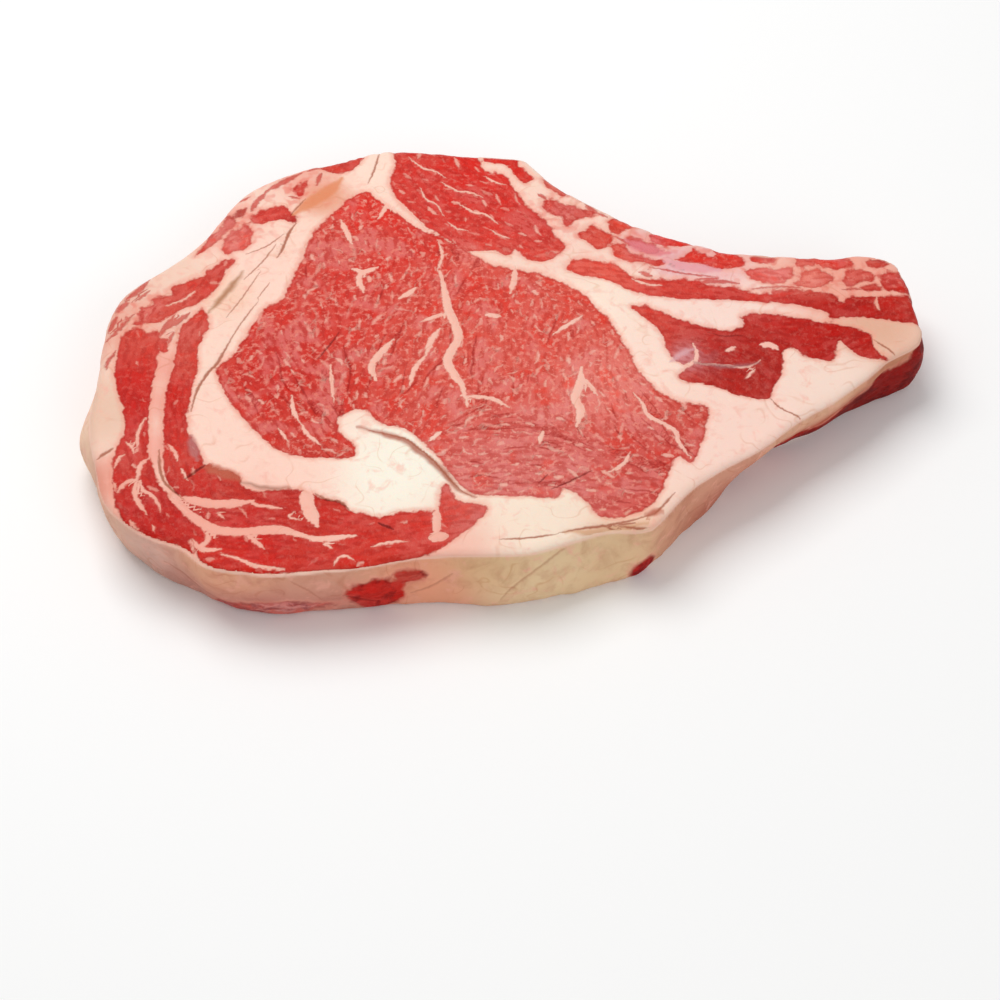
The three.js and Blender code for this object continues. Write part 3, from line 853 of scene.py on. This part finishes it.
def scatter_flecks():
    """Short strokes of fat scattered through each muscle."""
    rng = np.random.default_rng(SEED_FLECKS)
    strokes = []
    for loop, spacing in FLECK_SPACING:
        kept = []
        for x, y in spots_inside(rng, loop, FLECK_TRIES, FLECK_MARGIN):
            if any((x - kx) ** 2 + (y - ky) ** 2 < spacing**2 for kx, ky in kept):
                continue
            kept.append((x, y))
            strokes.append(fleck_at(rng, x, y))
    return strokes


def follow_fibres(rng, start, length):
    """A line of points that runs along the fibres from a start, wavering a little."""
    line = [start]
    x, y = start
    turn = rng.normal(0.0, WRINKLE_UNREST)
    for _ in range(max(1, round(length / WRINKLE_STEP))):
        turn = WRINKLE_MEMORY * turn + rng.normal(0.0, WRINKLE_UNREST)
        angle = fibre_angle(x, y) + turn
        x += WRINKLE_STEP * math.cos(angle)
        y += WRINKLE_STEP * math.sin(angle)
        line.append((x, y))
    return line


def scatter_wrinkles():
    """Long thin wrinkles that follow the fibres of the eye, most of them near the front."""
    rng = np.random.default_rng(SEED_WRINKLES)
    strokes = []
    for x, y in spots_inside(rng, EYE, WRINKLE_TRIES, WRINKLE_MARGIN):
        if y > WRINKLE_FRONT and rng.random() > WRINKLES_BEHIND:
            continue
        line = follow_fibres(rng, (x, y), mostly_low(rng, WRINKLE_LENGTH, 1.6))
        strokes.append((line, mostly_low(rng, WRINKLE_WIDTH, 1)))
        if len(strokes) == WRINKLE_COUNT:
            break
    return strokes


# ---- the pattern of the meat ----

# Shares from 0 to 1 at each vertex: the wall, the upper face, the wall that faces the near side,
# and the part of the steak that lies behind it.
Zones = namedtuple("Zones", "wall top near behind")

# Distance into the lean, shares of mixed and of speckled meat, fibre direction and the strokes.
CutFace = namedtuple("CutFace", "lean mixed speckled angle strokes")


def zones_at(points, normals):
    """Where on the steak each vertex lies."""
    up = normals[:, 2]
    wall = 1.0 - smooth_step(*TOP_EDGE, up) - smooth_step(*BASE_EDGE, -up)
    return Zones(
        wall=wall,
        top=smooth_step(*UPPER_HALF, up),
        near=wall * smooth_step(*NEAR_SIDE, -normals[:, 1]),
        behind=smooth_step(*BEHIND, points[:, 1]),
    )


def speckled_share(plan, mixed):
    """How much pale mottling the lean has at each point."""
    speckled = np.maximum(LEAST_SPECKLE, MIXED_SPECKLE * mixed)
    for loop, share in SPECKLED:
        inside = smooth_step(-1.0, 1.0, loop_field(plan, [loop]))
        speckled = np.maximum(speckled, share * inside)
    return speckled


def cut_face(points, zones):
    """Everything that is known about the cut face at each vertex."""
    stray = (1.0 - zones.top) * UNDERSIDE_WANDER
    x = points[:, 0] + stray * layered_noise(points, size=30.0, seed=41)
    y = points[:, 1] + stray * layered_noise(points, size=30.0, seed=51)
    plan = Plan(x, y)
    mixed = np.zeros(len(x))
    for *spot, reach in MIXED_ZONES:
        mixed = np.maximum(mixed, np.exp(-plan_gap(x, y, spot, reach)))
    return CutFace(
        lean=loop_field(plan, MUSCLES + ISLANDS) * (1.0 - MIXED_SOFTENING * mixed),
        mixed=mixed,
        speckled=speckled_share(plan, mixed),
        angle=fibre_angle(x, y),
        strokes={
            "shreds": stroke_field(plan, SHREDS),
            "streaks": stroke_field(plan, STREAKS),
            "creases": stroke_field(plan, CREASES),
            "stains_shade_and_sheen": stroke_field(plan, STAINS_SHADE_AND_SHEEN, clear=STAIN_SHADE_SHEEN_CLEAR),
            "flecks": stroke_field(plan, scatter_flecks()),
            "wrinkles": stroke_field(plan, scatter_wrinkles()),
        },
    )


def near_wall_meat(points):
    """Distance into the meat that shows in the near wall, positive inside."""
    best = np.full(len(points), -REACH)
    for *spot, along, up, _ in WALL_MEAT_AND_SHADE:
        ring = np.sqrt(wall_gap(points, *spot, along, up))
        best = np.maximum(best, (1.0 - ring) * min(along, up))
    return best + WALL_MEAT_RAGGED * layered_noise(points, size=9.0, seed=61)


def back_wall_meat(points, lean):
    """Distance into the meat of the back wall, where the muscles of the cut face run through."""
    return lean + BACK_MEAT_RAGGED * layered_noise(points, size=8.0, seed=71) - BACK_MEAT_INSET


def plan_tint_weight(points, x, y, reach):
    """Weight of a patch of the cut face."""
    return np.exp(-plan_gap(points[:, 0], points[:, 1], (x, y), reach))


def wall_tint_weight(points, *patch):
    """Weight of a patch of the wall."""
    return np.exp(-wall_gap(points, *patch))


def tinted_patches(points, base, tints, weigh):
    """A base colour with tinted patches laid over it by weight."""
    total = np.ones(len(points))
    color = np.tile(linear(base), (len(points), 1))
    for *patch, tint in tints:
        strength = TINT_STRENGTH * weigh(points, *patch)
        color += strength[:, None] * linear(tint)
        total += strength
    return color / total[:, None]


# ---- relief ----


def groove(felt, creases):
    """Depth of the soft grooves along the creases."""
    depths = np.array([depth for _, _, depth in creases])
    return CREASE_DEPTH * depths[felt.number] * bell(felt.away, CREASE_SPREAD)


def face_relief(points, face):
    """Relief of the cut faces: fat above lean, a groove between them, fibres and wrinkles."""
    streaks = face.strokes["streaks"]
    in_streak = smooth_step(-0.5, 0.5, streaks.half - np.abs(streaks.side))
    in_lean = smooth_step(-0.6, 0.6, face.lean) * (1.0 - in_streak)
    fat = FAT_SWELL * (1.0 - in_lean) + FAT_LUMPS * layered_noise(points, size=9.0, seed=3)
    border = BORDER_DEPTH * bell(face.lean, BORDER_SPREAD)

    c = np.cos(face.angle)
    s = np.sin(face.angle)
    along = points[:, 0] * c + points[:, 1] * s
    across = points[:, 1] * c - points[:, 0] * s
    fibre_space = np.column_stack([along * FIBRE_STRETCH, across, points[:, 2]])
    fibres = FIBRE_DEPTH * noise(fibre_space, size=1.9, seed=7)
    lumps = LEAN_LUMPS * layered_noise(points, size=4.5, seed=9)
    wrinkles = WRINKLE_DEPTH * bell(face.strokes["wrinkles"].away, WRINKLE_SPREAD)
    return fat - border + in_lean * (fibres + lumps - wrinkles)


def wall_relief(points):
    """Relief of the wall: soft lumps that hang down it."""
    drape = WALL_LUMPS * layered_noise(points * WALL_STRETCH, size=9.0, seed=21)
    return drape + WALL_GRAIN * noise(points, size=2.6, seed=25)


def press(mesh, points, offsets):
    """Moves the vertices, keeping the steak on the floor."""
    moved = points + offsets
    lowest = points[:, 2].min()
    moved[:, 2] = np.maximum(moved[:, 2], lowest) - lowest
    mesh.vertices.foreach_set("co", (moved * MM).ravel())
    mesh.update()


# ---- the mesh ----


def new_object(name, data):
    """A new object in the scene."""
    made = bpy.data.objects.new(name, data)
    bpy.context.scene.collection.objects.link(made)
    return made


def dense_copy(cad_object):
    """An even, dense copy of the CAD solid, with its facets melted away."""
    welded = bmesh.new()
    welded.from_mesh(cad_object.data)
    bmesh.ops.remove_doubles(welded, verts=welded.verts, dist=WELD * MM)
    coarse = bpy.data.meshes.new("steak_coarse")
    welded.to_mesh(coarse)
    welded.free()

    piece = new_object("raw_steak", coarse)
    remesh = piece.modifiers.new("even", "REMESH")
    remesh.mode = "VOXEL"
    remesh.voxel_size = VOXEL * MM
    soften = piece.modifiers.new("soften", "SMOOTH")
    soften.factor = 0.5
    soften.iterations = SOFTENING
    graph = bpy.context.evaluated_depsgraph_get()
    dense = bpy.data.meshes.new_from_object(piece.evaluated_get(graph))
    piece.modifiers.clear()
    piece.data = dense
    bpy.data.meshes.remove(coarse)
    return piece


def positions_and_normals(mesh):
    """Vertex positions in mm and unit normals, as arrays."""
    positions = np.empty(len(mesh.vertices) * 3)
    mesh.vertices.foreach_get("co", positions)
    normals = np.empty_like(positions)
    mesh.vertices.foreach_get("normal", normals)
    return positions.reshape(-1, 3) / MM, normals.reshape(-1, 3)


def store(mesh, name, values, kind="FLOAT"):
    """Keeps one number, vector or colour for each vertex under a name."""
    attribute = mesh.attributes.new(name, kind, "POINT")
    if kind == "FLOAT_COLOR":
        values = np.column_stack([values, np.ones(len(values))])
    field = {"FLOAT": "value", "FLOAT_VECTOR": "vector", "FLOAT_COLOR": "color"}[kind]
    attribute.data.foreach_set(field, np.ascontiguousarray(values, float).ravel())


def store_strokes(mesh, name, felt, hidden):
    """Keeps a stroke field. Where hidden is 1 the strokes vanish."""
    shown_half = felt.half - hidden * REACH
    store(mesh, name, np.column_stack([felt.side, shown_half, felt.number]), "FLOAT_VECTOR")


def store_pattern(mesh, zones, face, wall_meat, wall_creases):
    """Keeps the pattern that the material reads."""
    on_face = 1.0 - zones.wall
    store(mesh, "lean", blend(zones.wall, face.lean, wall_meat))
    store(mesh, "wall", zones.wall)
    store(mesh, "mixed", face.mixed * on_face)
    store(mesh, "speckled", face.speckled * (1.0 - WALL_CALM * zones.wall))
    for name, felt in face.strokes.items():
        hidden = 1.0 - zones.top * on_face if name == "creases" else zones.wall
        store_strokes(mesh, name, felt, hidden)
    store_strokes(mesh, "wall_creases", wall_creases, 1.0 - zones.near)
    flat = np.zeros(len(face.angle))
    direction = np.column_stack([np.cos(face.angle), np.sin(face.angle), flat])
    store(mesh, "fibre", direction, "FLOAT_VECTOR")


def store_colors(mesh, points, zones, stain_shade_sheen_number):
    """Keeps the tinted colours of lean, fat and stains, with painted shade and painted sheen among
    them.
    """
    # lean colour, with patches of painted sheen
    lean = tinted_patches(points, LEAN, LEAN_TINTS_AND_SHEEN, plan_tint_weight)
    # meat in the near wall, darkened with painted shade at the tail's foot
    wall_meat = tinted_patches(points, WALL_MEAT_COLOR, WALL_MEAT_AND_SHADE, wall_tint_weight)
    near_side = (zones.wall * (1.0 - zones.behind))[:, None]
    store(mesh, "lean_color_shade_sheen", blend(near_side, lean, wall_meat), "FLOAT_COLOR")
    # fat colour, with two patches of painted sheen
    fat = tinted_patches(points, FAT, FAT_TINTS_AND_SHEEN, plan_tint_weight)
    tissue = tinted_patches(points, WALL, WALL_TINTS, wall_tint_weight)
    store(mesh, "fat_color_and_sheen", blend(zones.wall[:, None], fat, tissue), "FLOAT_COLOR")
    stain_shade_sheen_colors = np.array([linear(color) for _, _, color in STAINS_SHADE_AND_SHEEN])
    store(mesh, "stain_shade_sheen_color", stain_shade_sheen_colors[stain_shade_sheen_number], "FLOAT_COLOR")


def shape_steak(piece):
    """Works out the pattern, presses the relief and stores what the material reads."""
    mesh = piece.data
    points, normals = positions_and_normals(mesh)
    zones = zones_at(points, normals)
    face = cut_face(points, zones)
    near_meat = near_wall_meat(points)
    wall_creases = stroke_field(Plan(points[:, 0], points[:, 2]), WALL_CREASES)

    swell = WALL_MEAT_SWELL * smooth_step(-0.5, 2.5, near_meat)
    relief = (1.0 - zones.wall) * face_relief(points, face)
    relief -= (1.0 - zones.wall) * zones.top * groove(face.strokes["creases"], CREASES)
    relief += zones.wall * wall_relief(points)
    relief += zones.near * (swell - groove(wall_creases, WALL_CREASES))
    press(mesh, points, normals * relief[:, None])

    wall_meat = blend(zones.behind, near_meat, back_wall_meat(points, face.lean))
    store_pattern(mesh, zones, face, wall_meat, wall_creases)
    store_colors(mesh, points, zones, face.strokes["stains_shade_and_sheen"].number)
    mesh.polygons.foreach_set("use_smooth", np.ones(len(mesh.polygons), bool))
    mesh.update()


# ---- node trees ----


class Value:
    """A number in a node tree, with the usual arithmetic."""

    def __init__(self, tree, socket):
        self.tree = tree
        self.socket = socket

    def __add__(self, other):
        return self.tree.math("ADD", self, other)

    def __sub__(self, other):
        return self.tree.math("SUBTRACT", self, other)

    def __rsub__(self, other):
        return self.tree.math("SUBTRACT", other, self)

    def __mul__(self, other):
        return self.tree.math("MULTIPLY", self, other)


class Tree:
    """A new material and short spellings for its nodes."""

    def __init__(self, name):
        self.material = bpy.data.materials.new(name)
        self.material.use_nodes = True
        self.nodes = self.material.node_tree.nodes
        self.links = self.material.node_tree.links
        self.nodes.clear()

    def node(self, kind, inputs, **settings):
        """A new node. Each input is a number, a colour, a socket or a Value."""
        made = self.nodes.new(kind)
        for name, setting in settings.items():
            setattr(made, name, setting)
        for key, value in inputs.items():
            if isinstance(value, Value):
                value = value.socket
            if isinstance(value, bpy.types.NodeSocket):
                self.links.new(value, made.inputs[key])
            else:
                made.inputs[key].default_value = value
        return made

    def math(self, operation, *values):
        """The result of a sum or another operation on numbers."""
        made = self.node("ShaderNodeMath", dict(enumerate(values)), operation=operation)
        return Value(self, made.outputs[0])

    def ramp(self, value, low, high):
        """0 at low, 1 at high and a soft ramp between. Low may be the larger of the two."""
        inputs = {"Value": value, "From Min": low, "From Max": high}
        made = self.node("ShaderNodeMapRange", inputs, interpolation_type="SMOOTHSTEP")
        return Value(self, made.outputs[0])

    def noise(self, vector, scale, detail=2.0, roughness=0.5, distortion=0.0):
        """Noise from 0 to 1, with about scale bumps to a millimetre."""
        inputs = {"Vector": vector, "Scale": scale, "Detail": detail}
        inputs.update({"Roughness": roughness, "Distortion": distortion})
        return Value(self, self.node("ShaderNodeTexNoise", inputs).outputs["Fac"])

    def stored(self, name, output):
        """The number, vector or colour that the mesh keeps under a name."""
        return self.node("ShaderNodeAttribute", {}, attribute_name=name).outputs[output]

    def number(self, name):
        """The number that the mesh keeps under a name."""
        return Value(self, self.stored(name, "Fac"))

    def parts(self, name):
        """The three numbers of a stored vector."""
        made = self.node("ShaderNodeSeparateXYZ", {0: self.stored(name, "Vector")})
        return [Value(self, socket) for socket in made.outputs]

    def scaled(self, vector, factor):
        inputs = {0: vector, "Scale": factor}
        return self.node("ShaderNodeVectorMath", inputs, operation="SCALE").outputs[0]

    def moved(self, vector, offset):
        inputs = {0: vector, 1: offset}
        return self.node("ShaderNodeVectorMath", inputs, operation="ADD").outputs[0]

    def mix(self, share, a, b, blend_type="MIX"):
        """Goes from colour a to colour b as the share goes from 0 to 1."""
        inputs = {0: share, 6: a, 7: b}
        made = self.node("ShaderNodeMix", inputs, data_type="RGBA", blend_type=blend_type)
        return made.outputs[2]

    def dyed(self, color, dye):
        """A colour multiplied by another."""
        return self.mix(1.0, color, (*dye, 1.0), "MULTIPLY")

    def layered(self, color, layers):
        """A colour with others laid over it in turn, each by its share."""
        for share, layer in layers:
            color = self.mix(share, color, layer)
        return color

    def surface(self, inputs):
        """Ends the tree in a principled surface and gives back the material."""
        shader = self.node("ShaderNodeBsdfPrincipled", inputs)
        self.node("ShaderNodeOutputMaterial", {"Surface": shader.outputs[0]})
        return self.material


# ---- the look of the meat ----


def centred(value, amount):
    """A noise value turned into an offset of up to about half of amount each way."""
    return (value - 0.5) * amount


def fibre_noise(tree, place):
    """Noise smeared along the fibres: the mean of samples taken along their direction."""
    fibre = tree.stored("fibre", "Vector")
    steps = [tree.moved(place, tree.scaled(fibre, step * FIBRE_SMEAR)) for step in SMEAR_STEPS]
    first, *rest = [tree.noise(step, scale=0.6, detail=1.0) for step in steps]
    return sum(rest, first) * (1.0 / len(SMEAR_STEPS))


def stroke_mask(tree, name, wobble, edge):
    """1 inside the strokes stored under a name, with ragged soft sides."""
    side, half, _ = tree.parts(name)
    away = tree.math("ABSOLUTE", side + wobble)
    return tree.ramp(half - away, -edge, edge)


def stroke_strength(tree, name, weakest):
    """A strength from weakest to 1 that differs from stroke to stroke."""
    _, _, number = tree.parts(name)
    shuffled = tree.math("FRACT", number * SHUFFLE)
    return shuffled * (1.0 - weakest) + weakest


class Grain:
    """Noises of several sizes, shared by the layers of the look."""

    def __init__(self, tree):
        place = tree.node("ShaderNodeTexCoord", {}).outputs["Object"]
        self.place = tree.scaled(place, 1.0 / MM)
        self.clouds = tree.noise(self.place, scale=0.09)
        self.coarse = tree.noise(self.place, scale=0.16)
        self.broad = tree.noise(self.place, scale=0.33, detail=1.0)
        self.fine = tree.noise(self.place, scale=0.8, detail=1.0)
        self.tiny = tree.noise(self.place, scale=2.2)
        self.films = tree.noise(self.place, 0.15, detail=4.0, roughness=0.62, distortion=0.5)
        self.along = fibre_noise(tree, self.place)


class Masks:
    """Where each kind of tissue and each kind of stroke shows."""

    def __init__(self, tree, grain):
        wobble = centred(grain.fine, 1.1)
        slight = centred(grain.fine, 0.6)
        self.wall = tree.number("wall")
        self.mixed = tree.number("mixed")
        self.speckled = tree.number("speckled")
        ragged = centred(grain.broad, 1.7) + centred(grain.fine, 1.0)
        self.lean_edge = tree.number("lean") + ragged
        softness = self.wall * 0.6 + 0.36
        self.lean = tree.ramp(self.lean_edge, softness * -1.0, softness)
        self.shred = stroke_mask(tree, "shreds", wobble, edge=0.35)
        self.streak = stroke_mask(tree, "streaks", wobble, edge=0.28)
        self.beside_streak = stroke_mask(tree, "streaks", wobble, edge=1.0)
        # painted shade along the creases of the cut face
        self.crease_shade = stroke_mask(tree, "creases", slight, edge=0.32)
        # painted shade along the creases of the near wall
        self.wall_crease_shade = stroke_mask(tree, "wall_creases", slight, edge=0.5)
        # painted shade along the wrinkles
        self.wrinkle_shade = stroke_mask(tree, "wrinkles", slight, edge=0.3)
        # stains, some of them painted shade and some painted sheen
        self.stain_shade_sheen = stroke_mask(tree, "stains_shade_and_sheen", centred(grain.broad, 1.2), edge=0.8)
        fleck = stroke_mask(tree, "flecks", wobble, edge=0.45)
        self.fleck = fleck * stroke_strength(tree, "flecks", weakest=0.15)


def lean_look(tree, grain, masks):
    """Lean: pinkish patches, mottled along the fibres, with pale specks, painted shade in the
    wrinkles and just inside its border with fat, and bruised where it forms the wall."""
    base = tree.stored("lean_color_shade_sheen", "Color")
    deep_tone_and_shade = tree.dyed(base, DEEP_TONE_AND_SHADE_DYE)
    pale = tree.mix(0.42, base, rgba(PALE_LEAN))
    pink = tree.mix(0.42, base, rgba(PINK_LEAN))
    specks = tree.noise(tree.moved(grain.place, SPECK_OFFSET), 0.7, roughness=0.6)
    shade = tree.layered(base, [
        (tree.ramp(grain.coarse, 0.52, 0.38), tree.dyed(base, VIVID_DYE)),
        (tree.ramp(grain.clouds, 0.48, 0.62) * masks.speckled, pink),
        (tree.ramp(grain.along, 0.53, 0.42) * 0.75, deep_tone_and_shade),
        (tree.ramp(specks, 0.49, 0.7) * masks.speckled, pale),
        (masks.beside_streak * 0.6, pale),
        # painted shade just inside the lean's border, along the groove between lean and fat
        (tree.ramp(masks.lean_edge, 1.1, 0.1) * 0.5, deep_tone_and_shade),
    ])
    # painted shade in the wrinkles
    shade = tree.mix(masks.wrinkle_shade * 0.8, shade, tree.dyed(shade, WRINKLE_SHADE_DYE))
    bruise = tree.ramp(grain.films, 0.54, 0.4) * masks.wall
    return tree.mix(bruise * 0.8, shade, tree.dyed(shade, BRUISE_DYE))


def fat_look(tree, grain, masks):
    """Fat: cream with rosy clouds and fine brown threads, reddened where it mixes with lean, and
    filmed over where it forms the wall."""
    base = tree.stored("fat_color_and_sheen", "Color")
    patches = tree.noise(grain.place, 0.22, detail=3.0, roughness=0.6, distortion=0.6)
    shade = tree.layered(base, [
        (tree.ramp(patches, 0.52, 0.74), tree.mix(0.5, base, rgba(ROSY_FAT))),
        (tree.ramp(masks.lean_edge, -1.9, -0.1) * 0.5, rgba(FAT_BY_LEAN)),
    ])
    folds = tree.noise(grain.place, 0.1, detail=1.0, roughness=0.4, distortion=0.3)
    ridge = tree.math("ABSOLUTE", folds - 0.5)
    thread = tree.ramp(ridge, 0.022, 0.0) * tree.ramp(grain.clouds, 0.45, 0.6)
    shade = tree.mix(thread * 0.5, shade, tree.dyed(shade, THREAD_DYE))
    blush = tree.ramp(grain.broad, 0.48, 0.66) * (masks.mixed * 0.5)
    shade = tree.mix(blush, shade, rgba(BLUSH))
    film = tree.ramp(grain.films, 0.42, 0.78) * (masks.wall * 0.7)
    shade = tree.mix(film, shade, tree.dyed(shade, FILM_DYE))
    rim = tree.ramp(masks.wall, 0.05, 0.45) * tree.ramp(masks.wall, 0.98, 0.5)
    return tree.mix(rim * 0.55, shade, rgba(RIM_FAT))


def raw_meat_material():
    """Moist cut meat: lean, fat, marbling, stains with painted shade and sheen, and the wall's
    tissue.
    """
    tree = Tree("raw_meat")
    grain = Grain(tree)
    masks = Masks(tree, grain)
    fat_in_lean = tree.math("MAXIMUM", masks.streak, masks.fleck * 0.75)
    meat = tree.math("MAXIMUM", masks.lean * (1.0 - fat_in_lean), masks.shred * 0.8)
    # the colour of the painted shade in a crease, by the tissue under it
    crease_shade_color = tree.mix(meat, rgba(CREASE_SHADE_IN_FAT), rgba(CREASE_SHADE_IN_LEAN))
    plain = tree.mix(meat, fat_look(tree, grain, masks), lean_look(tree, grain, masks))
    color = tree.layered(plain, [
        # stains, some of them painted shade and some painted sheen
        (masks.stain_shade_sheen * 0.85, tree.stored("stain_shade_sheen_color", "Color")),
        # painted shade in the creases of the cut face
        (masks.crease_shade * 0.9, crease_shade_color),
        # painted shade in the creases of the near wall, at half strength
        (masks.wall_crease_shade * 0.5, crease_shade_color),
    ])

    # relief finer than the mesh
    height = (grain.along + grain.tiny * 0.5) * meat + grain.fine * 0.25 + fat_in_lean * 0.2
    bump = tree.node("ShaderNodeBump", {"Strength": 0.5, "Distance": 0.9 * MM, "Height": height})
    return tree.surface({
        "Base Color": color,
        "Roughness": grain.fine * 0.26 + 0.22 + masks.wall * 0.3,
        "IOR": 1.38,
        "Specular IOR Level": 0.16,
        "Subsurface Weight": 0.1,
        "Subsurface Radius": (1.0, 0.35, 0.22),
        "Subsurface Scale": 1.5 * MM,
        "Normal": bump.outputs["Normal"],
    })


# ---- the studio ----


def floor():
    """A wide pale floor, a hair below the steak's lower face."""
    mesh = bpy.data.meshes.new("studio_floor")
    square = ((-1, -1), (1, -1), (1, 1), (-1, 1))
    corners = [Vector((x * FLOOR_HALF, y * FLOOR_HALF, -FLOOR_GAP)) * MM for x, y in square]
    mesh.from_pydata(corners, [], [(0, 1, 2, 3)])
    look = {"Base Color": (*FLOOR_COLOR, 1.0), "Roughness": 0.9, "Specular IOR Level": 0.1}
    mesh.materials.append(Tree("studio_floor").surface(look))
    new_object("studio_floor", mesh)


def look_at(obj, target):
    """Turns an object's -Z axis to a point given in mm."""
    direction = Vector(target) * MM - obj.location
    obj.rotation_euler = direction.to_track_quat("-Z", "Y").to_euler()


def soft_light(name, place, size, power):
    """A square area light that points at the middle of the part."""
    data = bpy.data.lights.new(name, "AREA")
    data.size = size * MM
    data.energy = power
    lamp = new_object(name, data)
    lamp.location = Vector(place) * MM
    look_at(lamp, (0, 0, 0))


def studio():
    """Plain soft light: a bright sky, a large lamp above and a weak one in front."""
    world = bpy.data.worlds.new("studio")
    world.use_nodes = True
    background = world.node_tree.nodes["Background"]
    background.inputs["Color"].default_value = (1.0, 1.0, 1.0, 1.0)
    background.inputs["Strength"].default_value = SKY_STRENGTH
    bpy.context.scene.world = world
    for lamp in LAMPS:
        soft_light(*lamp)
    bpy.context.scene.view_settings.view_transform = "Standard"


def camera():
    """Looks down at the steak from the near side, along +Y."""
    data = bpy.data.cameras.new("camera")
    data.lens = LENS
    data.clip_start = 0.01
    view = new_object("camera", data)
    tilt = math.radians(CAMERA_ELEVATION)
    away = Vector((0.0, -math.cos(tilt), math.sin(tilt))) * CAMERA_DISTANCE
    view.location = (Vector(CAMERA_TARGET) + away) * MM
    look_at(view, CAMERA_TARGET)
    bpy.context.scene.camera = view


# ---- the scene ----

camera()
floor()
studio()
steak = dense_copy(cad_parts["steak"])
shape_steak(steak)
steak.data.materials.clear()
steak.data.materials.append(raw_meat_material())
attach(steak, "root")
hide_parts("steak")
